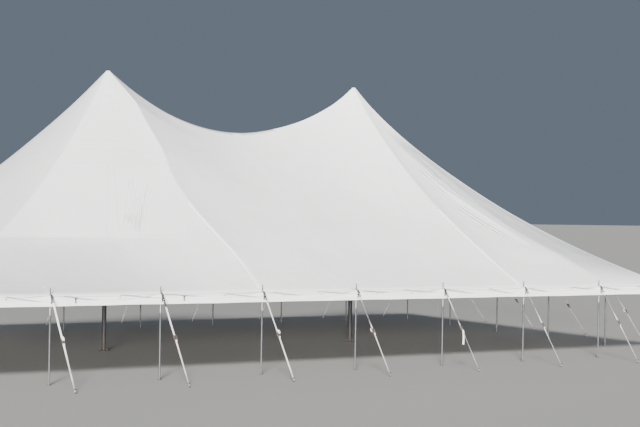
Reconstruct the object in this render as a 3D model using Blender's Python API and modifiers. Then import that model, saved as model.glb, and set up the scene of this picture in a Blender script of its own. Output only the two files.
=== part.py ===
"""Pole-supported marquee tent with two peaks, 24.4 by 15.2 m at the eave.

The cloth top is two halves that meet at a lace line over the middle of the tent. Each half is pushed
up by a centre pole and held at the eave by side poles, whose pins pass through eyelets in the hem.
A ratchet strap runs from every pin to a stake outside.

Frame: origin on the ground under the middle of the tent, +X along its length, -Y its front, +Z up.
All values are metres.
"""

import math

import bmesh
import bpy
import numpy as np
from mathutils import Matrix, Vector

# Plan, measured between the side poles' middles
TENT_LENGTH = 24.384
TENT_WIDTH = 15.24
PEAK_SPACING = 9.144
LENGTH_BAYS = 8
WIDTH_BAYS = 5

# Heights
EAVE_HEIGHT = 2.28
PEAK_RISE = 6.56

# Cloth top
TOP_THICKNESS = 0.010
HEM_WIDTH = 0.12
TIP_RADIUS = 0.05
EYELET_RADIUS = 0.013
SADDLE_SHARE = 0.73
HIP_SAG = 0.55
HIP_EASE = 0.11
WEB_SAG = 0.41
WEB_EASE = 0.19
FACET_SAG = 0.08
RINGS = 9

# Valance
VALANCE_DROP = 0.27
VALANCE_THICKNESS = 0.006

# Side poles
POLE_RADIUS = 0.025
INNER_TUBE_RADIUS = 0.021
COLLAR_RADIUS = 0.031
COLLAR_LENGTH = 0.06
COLLAR_BELOW_EAVE = 0.52
SHOULDER_RADIUS = 0.032
SHOULDER_THICKNESS = 0.008
FOOT_RADIUS = 0.06
FOOT_THICKNESS = 0.008
PIN_RADIUS = 0.009
PIN_ABOVE_EAVE = 0.19
SIDE_POLE_SIDES = 8

# Centre poles
CENTRE_POLE_RADIUS = 0.07
CENTRE_HEAD_RADIUS = 0.045
CENTRE_HEAD_THICKNESS = 0.09
CENTRE_FOOT_RADIUS = 0.16
CENTRE_FOOT_THICKNESS = 0.014
CENTRE_POLE_SIDES = 16

# Guys
STAKE_REACH = 1.83
RING_RADIUS = 0.034
RING_HOLE_RADIUS = 0.012
RING_THICKNESS = 0.006
TONGUE_PAST_HEM = 0.025
STRAP_WIDTH = 0.05
STRAP_THICKNESS = 0.004
STRAP_END_HEIGHT = 0.055
RATCHET_LENGTH = 0.17
RATCHET_WIDTH = 0.072
RATCHET_THICKNESS = 0.045
RATCHET_SHARE = 0.5
STAKE_RADIUS = 0.016
STAKE_HEIGHT = 0.12
STAKE_HEAD_RADIUS = 0.026
STAKE_HEAD_THICKNESS = 0.02

# Gap between pieces that touch
SEAT = 0.0003

HALF_LENGTH = TENT_LENGTH / 2
HALF_WIDTH = TENT_WIDTH / 2
LENGTH_BAY = TENT_LENGTH / LENGTH_BAYS
WIDTH_BAY = TENT_WIDTH / WIDTH_BAYS
PEAK_X = PEAK_SPACING / 2
PEAK_HEIGHT = EAVE_HEIGHT + PEAK_RISE
HEM_HALF = HEM_WIDTH / 2
HEM_UNDERSIDE = EAVE_HEIGHT - TOP_THICKNESS
TONGUE_REACH = HEM_HALF + TONGUE_PAST_HEM

# Reach of the sloping cloth from a peak: to the end, to the front or back, and to the lace line
END_REACH = HALF_LENGTH - HEM_HALF - PEAK_X
SIDE_REACH = HALF_WIDTH - HEM_HALF
LACE_REACH = PEAK_X - SEAT

# Where the webbing from a peak meets the hem, beside the peak's own line
SIDE_WEB = LENGTH_BAY / 2
END_WEB = WIDTH_BAY / 2


def new_collection(name):
    collection = bpy.data.collections.new(name)
    bpy.context.scene.collection.children.link(collection)
    return collection


def new_material(name, colour, roughness, metallic):
    material = bpy.data.materials.new(name)
    material.use_nodes = True
    shader = material.node_tree.nodes["Principled BSDF"]
    shader.inputs["Base Color"].default_value = (*colour, 1.0)
    shader.inputs["Roughness"].default_value = roughness
    shader.inputs["Metallic"].default_value = metallic
    return material


def add_object(name, mesh, collection, material=None):
    """Link a new object that shows the mesh, with the material if the mesh has none yet."""
    obj = bpy.data.objects.new(name, mesh)
    collection.objects.link(obj)
    if material is not None and not mesh.materials:
        mesh.materials.append(material)
    return obj


def add_bmesh(name, bm, collection, material=None):
    mesh = bpy.data.meshes.new(name)
    bm.to_mesh(mesh)
    bm.free()
    return add_object(name, mesh, collection, material)


def make_cutter(obj):
    obj.hide_render = True
    obj.display_type = "WIRE"
    return obj


def boolean(obj, other, operation):
    modifier = obj.modifiers.new(other.name, "BOOLEAN")
    modifier.object = other
    modifier.operation = operation
    modifier.solver = "EXACT"


def edge_positions(count, length):
    """Pole positions along a side with this many bays, centred on zero."""
    return [(i / count - 1 / 2) * length for i in range(count + 1)]


def pole_fall(u, sag, ease):
    """Height share along a line from the peak (u = 0, share 1) down to the eave (u = 1, share 0)."""
    return (1 - u) * (1 - sag * u + ease * u * u)


def facet(position, low, high, low_height, high_height):
    """Height share between two lines at position, straight but for a sag that fades towards the eave."""
    span = np.maximum(high - low, 1e-6)
    t = np.clip((position - low) / span, 0, 1)
    straight = low_height + (high_height - low_height) * t
    return straight, span * 4 * t * (1 - t)


def roof_share(out, across):
    """Height share of the cloth at plan offsets from a peak: out towards the end, across along Y.

    The share is 1 at the peak and 0 at the eave. Rows of constant u are squares around the peak. On
    each row the cloth hangs between the hips, which run to the corners, and the webs, which run to the
    nearest side poles. On the inner side it falls as a saddle to the lace line.
    """
    across = np.abs(across)
    u = np.maximum(across / SIDE_REACH, out / END_REACH)
    hip = pole_fall(u, HIP_SAG, HIP_EASE)
    web = pole_fall(u, WEB_SAG, WEB_EASE)
    on_end = out / END_REACH > across / SIDE_REACH
    position = np.where(on_end, across, out)
    web_place = np.where(on_end, END_WEB, SIDE_WEB) * u
    hip_place = np.where(on_end, SIDE_REACH, END_REACH) * u
    outer, outer_sag = facet(position, web_place, hip_place, web, hip)
    inner, inner_sag = facet(position, -web_place, web_place, web, web)
    sag = np.where(position > web_place, outer_sag, inner_sag) * FACET_SAG * (1 - u)
    height = np.where(position > web_place, outer, inner) - sag / PEAK_RISE

    side_u = across / SIDE_REACH
    side_web = pole_fall(side_u, WEB_SAG, WEB_EASE)
    lace = SADDLE_SHARE * (1 - side_u)
    xi = np.clip((LACE_REACH + out) / np.maximum(LACE_REACH - SIDE_WEB * side_u, 1e-6), 0, 1)
    saddle = lace + (side_web - lace) * xi ** 2
    return np.where(out < -SIDE_WEB * side_u, saddle, height)


def hem_walk():
    """Points (out, across) once around a half's sloping cloth, from the lace line's middle.

    Each stretch between a lace end, a web and a corner is cut into equal steps.
    """
    stops = [
        (-LACE_REACH, 0, 3), (-LACE_REACH, -SIDE_REACH, 2), (-SIDE_WEB, -SIDE_REACH, 2),
        (SIDE_WEB, -SIDE_REACH, 4), (END_REACH, -SIDE_REACH, 4), (END_REACH, -END_WEB, 2),
        (END_REACH, END_WEB, 4), (END_REACH, SIDE_REACH, 4), (SIDE_WEB, SIDE_REACH, 2),
        (-SIDE_WEB, SIDE_REACH, 2), (-LACE_REACH, SIDE_REACH, 3),
    ]
    points = []
    for i, (x, y, steps) in enumerate(stops):
        next_x, next_y, _ = stops[(i + 1) % len(stops)]
        for k in range(steps):
            points.append((x + (next_x - x) * k / steps, y + (next_y - y) * k / steps))
    points.append(points[0])
    return np.array(points)


def top_rows():
    """Rows of points (out, across, z): the peak, the tip's circle, the slope, and the hem's outer edge."""
    walk = hem_walk()
    reach = np.hypot(walk[:, 0], walk[:, 1])[:, None]
    direction = walk / reach
    level = np.full(len(walk), PEAK_HEIGHT)
    rows = [np.column_stack([walk * 0, level])]
    for ring in range(RINGS + 1):
        s = ring / RINGS
        plan = direction * (TIP_RADIUS + (reach - TIP_RADIUS) * s)
        share = roof_share(walk[:, 0] * s, walk[:, 1] * s)
        rows.append(np.column_stack([plan, EAVE_HEIGHT + PEAK_RISE * share]))
    hem = walk.copy()
    hem[:, 0] += HEM_WIDTH * np.isclose(walk[:, 0], END_REACH)
    hem[:, 1] += HEM_WIDTH * np.sign(walk[:, 1]) * np.isclose(np.abs(walk[:, 1]), SIDE_REACH)
    rows.append(np.column_stack([hem, rows[-1][:, 2]]))
    return rows


def build_top(name, side, poles, parts, cutters, material):
    """One half of the cloth top, as a sheet of even upright thickness with an eyelet at each pole."""
    rows = top_rows()
    row_count = len(rows) - 1
    column_count = len(rows[0]) - 1
    bm = bmesh.new()
    bmesh.ops.create_grid(bm, x_segments=column_count, y_segments=row_count, size=0.5)
    for vertex in bm.verts:
        column = round((vertex.co.x + 0.5) * column_count)
        row = round((vertex.co.y + 0.5) * row_count)
        out, across, z = rows[row][column]
        vertex.co = Vector((side * (PEAK_X + out), across, z))
    bmesh.ops.remove_doubles(bm, verts=bm.verts, dist=1e-5)
    on_lace_line = [f for f in bm.faces if all(abs(v.co.x) < 2 * SEAT for v in f.verts)]
    bmesh.ops.delete(bm, geom=on_lace_line, context="FACES")
    sheet = bmesh.ops.extrude_face_region(bm, geom=bm.faces[:])
    under = [item for item in sheet["geom"] if isinstance(item, bmesh.types.BMVert)]
    bmesh.ops.translate(bm, verts=under, vec=(0, 0, -TOP_THICKNESS))
    bmesh.ops.recalc_face_normals(bm, faces=bm.faces)
    top = add_bmesh(name, bm, parts, material)

    bm = bmesh.new()
    for x, y in poles:
        if side * x > -SEAT:
            place = Matrix.Translation((x, y, EAVE_HEIGHT))
            bmesh.ops.create_cone(bm, cap_ends=True, segments=8, radius1=EYELET_RADIUS,
                                  radius2=EYELET_RADIUS, depth=HEM_WIDTH, matrix=place)
    eyelets = make_cutter(add_bmesh(name + "_eyelets", bm, cutters))
    boolean(top, eyelets, "DIFFERENCE")
    return top


def build_valance(name, side, parts, material):
    """The straight skirt of one half, hanging under the hem's outer edge on three sides."""
    x = HALF_LENGTH + HEM_HALF
    y = HALF_WIDTH + HEM_HALF
    t = VALANCE_THICKNESS
    outline = [
        (SEAT, -y), (x, -y), (x, y), (SEAT, y),
        (SEAT, y - t), (x - t, y - t), (x - t, t - y), (SEAT, t - y),
    ]
    curve = bpy.data.curves.new(name, "CURVE")
    curve.dimensions = "2D"
    curve.fill_mode = "BOTH"
    curve.extrude = VALANCE_DROP / 2
    spline = curve.splines.new("POLY")
    spline.points.add(len(outline) - 1)
    for point, (px, py) in zip(spline.points, outline):
        point.co = (side * px, py, 0, 1)
    spline.use_cyclic_u = True
    curve.materials.append(material)
    valance = bpy.data.objects.new(name, curve)
    parts.objects.link(valance)
    valance.location.z = HEM_UNDERSIDE - SEAT - VALANCE_DROP / 2


def turned_mesh(name, profile, sides, collection):
    """Mesh of a profile of (radius, height) points, listed top to bottom and turned about the Z axis."""
    bm = bmesh.new()
    points = [bm.verts.new((radius, 0, height)) for radius, height in profile]
    for upper, lower in zip(points, points[1:]):
        bm.edges.new((upper, lower))
    obj = add_bmesh(name, bm, collection)
    screw = obj.modifiers.new("turn", "SCREW")
    screw.steps = sides
    screw.render_steps = sides
    screw.use_merge_vertices = True
    screw.merge_threshold = 0.0001
    screw.use_smooth_shade = False
    mesh = applied_mesh(obj)
    mesh.name = name
    return mesh


def applied_mesh(obj):
    """The object's mesh with its modifiers applied. The object itself is removed."""
    evaluated = obj.evaluated_get(bpy.context.evaluated_depsgraph_get())
    mesh = bpy.data.meshes.new_from_object(evaluated)
    bpy.data.objects.remove(obj)
    return mesh


def side_pole_mesh(cutters):
    """A foot, a lower tube, a collar, the thinner upper tube, the shoulder under the hem, and the pin."""
    shoulder = HEM_UNDERSIDE - SEAT
    collar_top = EAVE_HEIGHT - COLLAR_BELOW_EAVE
    collar_bottom = collar_top - COLLAR_LENGTH
    profile = [
        (0, EAVE_HEIGHT + PIN_ABOVE_EAVE), (PIN_RADIUS, EAVE_HEIGHT + PIN_ABOVE_EAVE),
        (PIN_RADIUS, shoulder), (SHOULDER_RADIUS, shoulder),
        (SHOULDER_RADIUS, shoulder - SHOULDER_THICKNESS),
        (INNER_TUBE_RADIUS, shoulder - SHOULDER_THICKNESS), (INNER_TUBE_RADIUS, collar_top),
        (COLLAR_RADIUS, collar_top), (COLLAR_RADIUS, collar_bottom), (POLE_RADIUS, collar_bottom),
        (POLE_RADIUS, FOOT_THICKNESS), (FOOT_RADIUS, FOOT_THICKNESS), (FOOT_RADIUS, 0), (0, 0),
    ]
    return turned_mesh("side_pole", profile, SIDE_POLE_SIDES, cutters)


def centre_pole_mesh(cutters):
    """A round foot, one thick tube, and the narrow head that carries the tip of the cloth."""
    head = PEAK_HEIGHT - TOP_THICKNESS - SEAT
    neck = head - CENTRE_HEAD_THICKNESS
    profile = [
        (0, head), (CENTRE_HEAD_RADIUS, head), (CENTRE_HEAD_RADIUS, neck), (CENTRE_POLE_RADIUS, neck),
        (CENTRE_POLE_RADIUS, CENTRE_FOOT_THICKNESS), (CENTRE_FOOT_RADIUS, CENTRE_FOOT_THICKNESS),
        (CENTRE_FOOT_RADIUS, 0), (0, 0),
    ]
    return turned_mesh("centre_pole", profile, CENTRE_POLE_SIDES, cutters)


def add_block(name, start, end, width, thickness, turn, collection):
    """A flat bar from start to end, points in the upright plane through +X, then turned about Z."""
    start = Vector((start[0], 0, start[1]))
    end = Vector((end[0], 0, end[1]))
    along = end - start
    tilt = Matrix.Rotation(math.atan2(-along.z, along.x), 4, "Y")
    size = Matrix.Diagonal((along.length, width, thickness, 1))
    bm = bmesh.new()
    place = Matrix.Rotation(turn, 4, "Z") @ Matrix.Translation((start + end) / 2) @ tilt @ size
    bmesh.ops.create_cube(bm, size=1, matrix=place)
    return add_bmesh(name, bm, collection)


def add_drum(name, x, bottom, height, radius, sides, turn, collection):
    """An upright cylinder at distance x from the pin, turned about Z with its guy."""
    bm = bmesh.new()
    place = Matrix.Rotation(turn, 4, "Z") @ Matrix.Translation((x, 0, bottom + height / 2))
    bmesh.ops.create_cone(bm, cap_ends=True, segments=sides, radius1=radius, radius2=radius,
                          depth=height, matrix=place)
    return add_bmesh(name, bm, collection)


def guy_mesh(name, turns, cutters):
    """A ring over the pin, and for each turn about Z a tongue, a strap, its ratchet and its stake."""
    ring_bottom = EAVE_HEIGHT + SEAT
    ring_middle = ring_bottom + RING_THICKNESS / 2
    top = (TONGUE_REACH, ring_middle)
    bottom = (STAKE_REACH, STRAP_END_HEIGHT)
    slope = np.array(bottom) - np.array(top)
    middle = np.array(top) + slope * RATCHET_SHARE
    half_ratchet = slope / np.linalg.norm(slope) * RATCHET_LENGTH / 2

    ring = add_drum(name, 0, ring_bottom, RING_THICKNESS, RING_RADIUS, 12, 0, cutters)
    tools = []
    for turn in turns:
        tools += [
            add_block(name + "_tongue", (0, ring_middle), top, STRAP_WIDTH, RING_THICKNESS, turn,
                      cutters),
            add_block(name + "_strap", (TONGUE_REACH - RING_THICKNESS / 2, ring_middle), bottom,
                      STRAP_WIDTH - 2 * SEAT, STRAP_THICKNESS, turn, cutters),
            add_block(name + "_ratchet", middle - half_ratchet, middle + half_ratchet, RATCHET_WIDTH,
                      RATCHET_THICKNESS, turn, cutters),
            add_drum(name + "_stake", STAKE_REACH, 0, STAKE_HEIGHT, STAKE_RADIUS, 8, turn, cutters),
            add_drum(name + "_stake_head", STAKE_REACH, STAKE_HEIGHT - STAKE_HEAD_THICKNESS,
                     STAKE_HEAD_THICKNESS + SEAT, STAKE_HEAD_RADIUS, 8, turn, cutters),
        ]
    for tool in tools:
        boolean(ring, tool, "UNION")
    hole = add_drum(name + "_hole", 0, ring_bottom - RING_THICKNESS, 3 * RING_THICKNESS,
                    RING_HOLE_RADIUS, 8, 0, cutters)
    boolean(ring, hole, "DIFFERENCE")
    mesh = applied_mesh(ring)
    for tool in [*tools, hole]:
        bpy.data.objects.remove(tool)
    return mesh


def perimeter():
    """Every pole's name, place and outward directions, as angles about Z."""
    front, right, back, left = -math.pi / 2, 0.0, math.pi / 2, math.pi
    along = edge_positions(LENGTH_BAYS, TENT_LENGTH)
    deep = edge_positions(WIDTH_BAYS, TENT_WIDTH)
    places = []
    for i, x in enumerate(along[1:-1]):
        places.append((f"front_{i + 1}", x, -HALF_WIDTH, [front]))
        places.append((f"back_{i + 1}", x, HALF_WIDTH, [back]))
    for i, y in enumerate(deep[1:-1]):
        places.append((f"left_{i + 1}", -HALF_LENGTH, y, [left]))
        places.append((f"right_{i + 1}", HALF_LENGTH, y, [right]))
    places += [
        ("front_left_corner", -HALF_LENGTH, -HALF_WIDTH, [left, front]),
        ("front_right_corner", HALF_LENGTH, -HALF_WIDTH, [front, right]),
        ("back_right_corner", HALF_LENGTH, HALF_WIDTH, [right, back]),
        ("back_left_corner", -HALF_LENGTH, HALF_WIDTH, [back, left]),
    ]
    return places


for old in list(bpy.data.objects):
    bpy.data.objects.remove(old, do_unlink=True)

tent = new_collection("marquee_tent")
tools = new_collection("cutters")
roof_vinyl = new_material("roof_vinyl", (0.86, 0.86, 0.85), 0.45, 0.0)
valance_vinyl = new_material("valance_vinyl", (0.90, 0.90, 0.89), 0.45, 0.0)
side_pole_metal = new_material("side_pole_metal", (0.62, 0.63, 0.64), 0.38, 1.0)
centre_pole_metal = new_material("centre_pole_metal", (0.30, 0.31, 0.32), 0.45, 1.0)
guy_webbing = new_material("guy_webbing", (0.84, 0.83, 0.80), 0.80, 0.0)

poles = perimeter()
pole_points = [(x, y) for _, x, y, _ in poles]
for half, side in (("left_half", -1), ("right_half", 1)):
    build_top(half + "_top", side, pole_points, tent, tools, roof_vinyl)
    build_valance(half + "_valance", side, tent, valance_vinyl)

centre_pole = centre_pole_mesh(tools)
for name, side in (("left_centre_pole", -1), ("right_centre_pole", 1)):
    add_object(name, centre_pole, tent, centre_pole_metal).location.x = side * PEAK_X

side_pole = side_pole_mesh(tools)
side_guy = guy_mesh("side_guy", [0], tools)
corner_guy = guy_mesh("corner_guy", [0, math.pi / 2], tools)
for name, x, y, directions in poles:
    add_object(name + "_pole", side_pole, tent, side_pole_metal).location = (x, y, 0)
    mesh = side_guy if len(directions) == 1 else corner_guy
    guy = add_object(name + "_guy", mesh, tent, guy_webbing)
    guy.location = (x, y, 0)
    guy.rotation_euler.z = directions[0]
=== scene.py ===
"""A two-peak marquee tent: a white vinyl top in two laced halves, held up by poles and by ratchet guys.

Sizes are in metres, with Z up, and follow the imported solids.
"""

import bpy
import numpy as np
from mathutils import Matrix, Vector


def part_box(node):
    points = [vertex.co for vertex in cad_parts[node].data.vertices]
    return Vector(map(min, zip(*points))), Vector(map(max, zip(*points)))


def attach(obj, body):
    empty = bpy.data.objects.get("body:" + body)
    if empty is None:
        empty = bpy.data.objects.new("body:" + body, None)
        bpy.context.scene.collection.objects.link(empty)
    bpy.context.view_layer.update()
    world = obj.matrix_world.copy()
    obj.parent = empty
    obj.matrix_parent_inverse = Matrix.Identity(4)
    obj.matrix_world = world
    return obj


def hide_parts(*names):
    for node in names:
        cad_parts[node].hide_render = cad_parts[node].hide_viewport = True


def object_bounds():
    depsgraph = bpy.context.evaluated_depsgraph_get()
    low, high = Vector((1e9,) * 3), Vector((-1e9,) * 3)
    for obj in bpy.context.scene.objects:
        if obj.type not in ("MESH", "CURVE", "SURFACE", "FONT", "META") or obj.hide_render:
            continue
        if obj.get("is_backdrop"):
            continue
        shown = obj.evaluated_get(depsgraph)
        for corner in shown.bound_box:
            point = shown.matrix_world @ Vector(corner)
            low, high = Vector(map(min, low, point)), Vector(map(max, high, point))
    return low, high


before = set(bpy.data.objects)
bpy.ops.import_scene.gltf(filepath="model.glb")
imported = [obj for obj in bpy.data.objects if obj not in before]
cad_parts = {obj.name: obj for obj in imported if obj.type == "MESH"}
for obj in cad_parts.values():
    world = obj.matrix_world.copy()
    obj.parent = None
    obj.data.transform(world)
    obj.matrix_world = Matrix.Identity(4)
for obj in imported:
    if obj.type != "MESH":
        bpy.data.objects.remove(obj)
cad_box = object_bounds()

# Camera, floor and light.
# The camera stands where the photograph was taken, in front of the tent's left half. The floor is a plain
# pale studio floor. Two broad soft lights stand at the front left, one high and one low, and the air is a
# plain grey.
CAMERA_PLACE = (-21.705, -42.015, 4.5)
CAMERA_YAW, CAMERA_PITCH, CAMERA_ROLL = np.radians([30.7479, -0.069, 0.9287])
FLOOR_HALF = 500.0


def put(name, data, matrix=Matrix()):
    """A new object in the scene, placed by the matrix."""
    thing = bpy.data.objects.new(name, data)
    thing.matrix_world = matrix
    bpy.context.scene.collection.objects.link(thing)
    return thing


turn = Matrix.Rotation(-CAMERA_YAW, 4, "Z") @ Matrix.Rotation(np.pi / 2 + CAMERA_PITCH, 4, "X")
turn = turn @ Matrix.Rotation(CAMERA_ROLL, 4, "Z")
camera = put("camera", bpy.data.cameras.new("camera"), Matrix.Translation(CAMERA_PLACE) @ turn)
camera.data.sensor_width = 36.0
camera.data.lens = 80.0
camera.data.clip_start = 0.5
camera.data.clip_end = 2000.0
bpy.context.scene.camera = camera

for name, energy, size, tilt in (("high_light", 6.0, 10, 60), ("low_light", 9.6, 16, 87)):
    turn = Matrix.Rotation(np.radians(-34), 4, "Z") @ Matrix.Rotation(np.radians(tilt), 4, "X")
    light = put(name, bpy.data.lights.new(name, "SUN"), turn)
    light.data.energy = energy
    light.data.angle = np.radians(size)
    light.data.color = (1.0, 0.99, 0.97)

world = bpy.data.worlds.new("studio")
world.use_nodes = True
background = world.node_tree.nodes["Background"].inputs
background["Color"].default_value = (0.155, 0.19, 0.235, 1.0)
background["Strength"].default_value = 0.9
bpy.context.scene.world = world

floor_mesh = bpy.data.meshes.new("studio_floor")
floor_corners = [(x * FLOOR_HALF, y * FLOOR_HALF, 0) for x, y in ((-1, -1), (1, -1), (1, 1), (-1, 1))]
floor_mesh.from_pydata(floor_corners, [], [(0, 1, 2, 3)])
floor_paint = bpy.data.materials.new("studio_floor")
floor_paint.use_nodes = True
floor_surface = floor_paint.node_tree.nodes["Principled BSDF"].inputs
floor_surface["Base Color"].default_value = (0.34, 0.33, 0.315, 1)
floor_surface["Roughness"].default_value = 0.9
floor_mesh.materials.append(floor_paint)
floor = put("studio_floor", floor_mesh)
floor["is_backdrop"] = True


# Side poles.
# Twenty-six galvanised steel poles hold up the eave. Each is a lower tube on a welded foot disc, a swaged
# collar with a hitch pin, and a thinner drilled tube that ends in a shoulder and a pin for the eyelet.
def maths_method(operation):
    """A method that adds this Math node to a shader socket."""
    return lambda shade, *values: shade.maths(operation, *values)


class Shade:
    """A shader socket that Python's operators work on: each adds the Math node of its name."""

    def __init__(self, finish, socket):
        self.finish = finish
        self.socket = socket

    def maths(self, operation, *values):
        """One Math node with this socket first."""
        return self.finish.node("ShaderNodeMath", {"operation": operation}, dict(enumerate([self, *values])))

    __add__ = __radd__ = maths_method("ADD")
    __sub__ = maths_method("SUBTRACT")
    __mul__ = __rmul__ = maths_method("MULTIPLY")
    __lt__ = maths_method("LESS_THAN")
    __gt__ = maths_method("GREATER_THAN")
    __mod__ = maths_method("FLOORED_MODULO")
    __abs__ = maths_method("ABSOLUTE")

    def __rsub__(self, other):
        return self * -1.0 + other

    def between(self, low, high):
        """0 below low and 1 above high, with a soft change between them."""
        settings = {"interpolation_type": "SMOOTHSTEP"}
        return self.finish.node("ShaderNodeMapRange", settings, {"Value": self, 1: low, 2: high})


class Finish:
    """A material whose nodes are added one by one, around its Principled BSDF."""

    def __init__(self, name, roughness=0.5, metallic=0.0, specular=0.5, slot=None):
        self.slot = slot or name
        self.material = bpy.data.materials.new(name)
        self.material.use_nodes = True
        self.nodes = self.material.node_tree.nodes
        self.surface = self.nodes["Principled BSDF"].inputs
        self.surface["Roughness"].default_value = roughness
        self.surface["Metallic"].default_value = metallic
        self.surface["Specular IOR Level"].default_value = specular

    def node(self, kind, settings=None, values=None, out=0):
        """Any node: its settings are set first, then the values or links of its sockets."""
        node = self.nodes.new(kind)
        for setting, value in (settings or {}).items():
            setattr(node, setting, value)
        for key, value in (values or {}).items():
            self.set(node.inputs[key], value)
        return Shade(self, node.outputs[out])

    def set(self, socket, value):
        """Gives a socket a link or a value. A colour comes without its alpha."""
        if isinstance(value, Shade):
            self.material.node_tree.links.new(value.socket, socket)
        else:
            socket.default_value = (*value, 1.0) if socket.type == "RGBA" else value

    def place(self, kind="Object", stretch=(1, 1, 1)):
        """Object or UV coordinates, scaled on each axis."""
        point = self.node("ShaderNodeTexCoord", out=kind)
        return self.node("ShaderNodeMapping", None, {"Vector": point, "Scale": stretch})

    def axis(self, letter, point=None):
        """One coordinate of a point, which is the place on the object unless another is given."""
        return self.node("ShaderNodeSeparateXYZ", None, {0: point or self.place()}, out=letter)

    def noise(self, scale, detail=3.0, roughness=0.55, stretch=(1, 1, 1), kind="Object"):
        """Smooth noise from 0 to 1."""
        point = self.place(kind, stretch)
        values = {"Vector": point, "Scale": scale, "Detail": detail, "Roughness": roughness}
        return self.node("ShaderNodeTexNoise", None, values)

    def wave(self, direction, scale):
        """Bands over the UV map, from 0 to 1 and back."""
        values = {"Vector": self.place("UV"), "Scale": scale}
        return self.node("ShaderNodeTexWave", {"bands_direction": direction}, values)

    def blend(self, tone, *layers):
        """A colour under layers of others: each covers it as its amount goes from 0 to 1."""
        for amount, colour in layers:
            values = {0: amount, 6: tone, 7: colour}
            tone = self.node("ShaderNodeMix", {"data_type": "RGBA"}, values, out=2)
        return tone

    def paint(self, colour, roughness, metallic, height, depth):
        """Links what changes over the surface, with height as a bump of that depth."""
        bump = self.node("ShaderNodeBump", None, {"Height": height, "Distance": depth})
        inputs = {"Base Color": colour, "Roughness": roughness, "Metallic": metallic, "Normal": bump}
        for name, value in inputs.items():
            if value is not None:
                self.set(self.surface[name], value)


def at(*coordinates):
    """Points with these coordinates, which are numbers or arrays that broadcast together."""
    return np.stack(np.broadcast_arrays(*coordinates), axis=-1)


def around(sides):
    """Even angles round a full turn."""
    return 2 * np.pi * np.arange(sides) / sides


def signed_power(value, power):
    """The size of a value raised to a power, with the value's sign."""
    return np.sign(value) * np.abs(value) ** power


def unit(vectors):
    """Each vector divided by its own length."""
    return vectors / np.maximum(np.linalg.norm(vectors, axis=-1, keepdims=True), 1e-12)


def run_along(path):
    """How far along a path each of its points lies."""
    return np.append(0, np.cumsum(np.linalg.norm(np.diff(path, axis=0), axis=1)))


def grid_faces(rows, columns, joined=False, looped=False):
    """Quads of a grid counted row by row, with the column and row of each corner.

    A joined grid closes its last column on its first, and a looped one its last row on its first.
    """
    i, j = np.meshgrid(np.arange(rows - 1 + looped), np.arange(columns - 1 + joined), indexing="ij")
    row = at(i, i, i + 1, i + 1).reshape(-1, 4)
    column = at(j, j + 1, j + 1, j).reshape(-1, 4)
    return (row % rows) * columns + column % columns, column, row


def outward(points, faces):
    """The shape with its faces turned over where its volume, a sum of tetrahedra, comes out negative."""
    volume = 0.0
    for corners, _ in faces:
        for k in range(2, corners.shape[1]):
            a, b, c = points[corners[:, 0]], points[corners[:, k - 1]], points[corners[:, k]]
            volume += (a * np.cross(b, c)).sum()
    if volume < 0:
        faces = [(corners[:, ::-1], uv[:, ::-1]) for corners, uv in faces]
    return points, faces


def lofted(rings, across=None, along=None, looped=False):
    """A closed shape through rings of points, one row each, with a fan about each end ring's middle.

    The UV map is the place across the ring and along the rows, in metres.
    """
    rows, columns = rings.shape[:2]
    steps = np.linalg.norm(np.roll(rings, -1, axis=1) - rings, axis=2).max(axis=0)
    across = np.append(0, np.cumsum(steps)) if across is None else np.append(across, across[0])
    if along is None:
        along = run_along(rings.mean(axis=1))
    along = np.append(along, 2 * along[-1] - along[-2])
    quads, column, row = grid_faces(rows, columns, joined=True, looped=looped)
    points = rings.reshape(-1, 3)
    faces = [(quads, at(across[column], along[row]))]
    if not looped:
        j = np.arange(columns)
        for start, middle, end in ((0, len(points), 0), ((rows - 1) * columns, len(points) + 1, -2)):
            fan = at(start + j, start + (j + 1) % columns, middle)
            uv = at(at(across[j], across[j + 1], across[j]), along[end])
            faces.append((fan[:, ::-1], uv[:, ::-1]) if start == 0 else (fan, uv))
        points = np.concatenate([points, rings[[0, -1]].mean(axis=1)])
    return outward(points, faces)


def turned(profile, sides=24):
    """A turned shape: each profile point (radius, height) becomes the ring (r cos a, r sin a, height)."""
    radius, height = np.array(profile, float).T[:, :, None]
    rings = at(radius * np.cos(around(sides)), radius * np.sin(around(sides)), height)
    return lofted(rings, along=height[:, 0])


def swept(path, side, outline, looped=False, size=1.0, across=None):
    """An outline carried along a path: its point (a, b) lies at path + a S + b (T x S).

    T is the path's direction, and S the side direction squared to it. size scales a and b on each row.
    """
    path = np.array(path, float)
    ahead = np.roll(path, -1, axis=0) - np.roll(path, 1, axis=0) if looped else np.gradient(path, axis=0)
    direction = unit(ahead)
    side = np.broadcast_to(np.array(side, float), path.shape)
    side = unit(side - (side * direction).sum(axis=1, keepdims=True) * direction)
    other = np.cross(direction, side)
    section = np.array(outline, float)[None] * np.broadcast_to(size, (len(path), 2))[:, None]
    rings = path[:, None] + section[..., :1] * side[:, None] + section[..., 1:] * other[:, None]
    return lofted(rings, across, looped=looped)


def joined(shapes):
    """One shape of several, with their points counted on."""
    starts = np.cumsum([0] + [len(points) for points, _ in shapes])
    faces = [(corners + start, uv) for start, (_, some) in zip(starts, shapes) for corners, uv in some]
    return np.concatenate([points for points, _ in shapes]), faces


def moved(shape, place=(0, 0, 0), axes=np.eye(3)):
    """The shape with its X, Y and Z laid along the rows of axes, and its origin at place."""
    points, faces = shape
    return points @ np.array(axes, float) + np.array(place, float), faces


def facing(angle):
    """Axes whose X points outwards at this angle about Z, in degrees, and whose Z stays up."""
    c, s = np.cos(np.radians(angle)), np.sin(np.radians(angle))
    return np.array([[c, s, 0], [-s, c, 0], [0, 0, 1]])


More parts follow.
